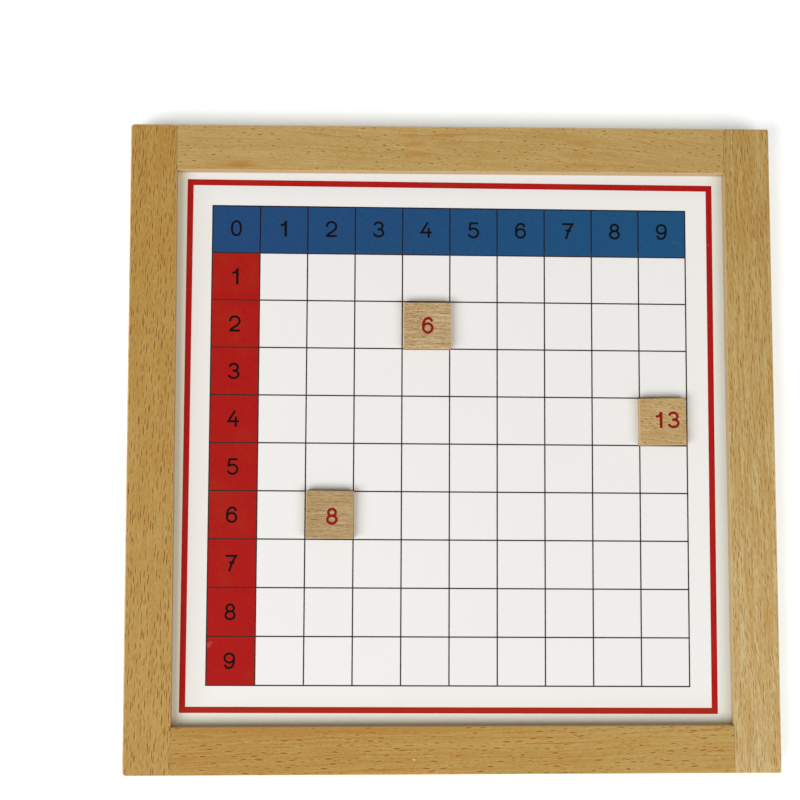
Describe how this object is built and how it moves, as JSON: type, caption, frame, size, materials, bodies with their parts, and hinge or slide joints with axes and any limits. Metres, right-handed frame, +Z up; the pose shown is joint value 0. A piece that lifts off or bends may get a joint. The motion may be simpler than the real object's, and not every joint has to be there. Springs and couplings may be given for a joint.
{
  "type": "addition memorization board",
  "caption": "Square wooden frame round a printed sums chart with a blue number row, a red number column and a grid, with small wooden number tiles lying on it.",
  "frame": {"origin": "centre of the board's underside", "axes": "+Z up, out of the chart; +X to the reader's right along the number row; +Y away from the reader, towards the number row"},
  "size_m": [0.337, 0.337, 0.0184],
  "materials": {
    "beech_frame": "fine sanded, thin satin varnish",
    "beech_tile": "fine sanded, bare",
    "base_board": "smooth pressed board",
    "chart_paper": "white printed sheet, satin",
    "printed_red": "satin ink",
    "printed_blue": "satin ink",
    "printed_black": "satin ink",
    "tile_ink": "dark red ink"
  },
  "bodies": {
    "root": {"left_stile": "beech_frame", "right_stile": "beech_frame", "top_rail": "beech_frame", "bottom_rail": "beech_frame", "base_panel": "base_board", "chart_sheet": "chart_paper", "red_border": "printed_red", "red_number_column": "printed_red", "blue_number_row": "printed_blue", "grid_lines": "printed_black", "tile_with_six": "beech_tile", "tile_with_thirteen": "beech_tile", "tile_with_eight": "beech_tile"}
  },
  "joints": []
}
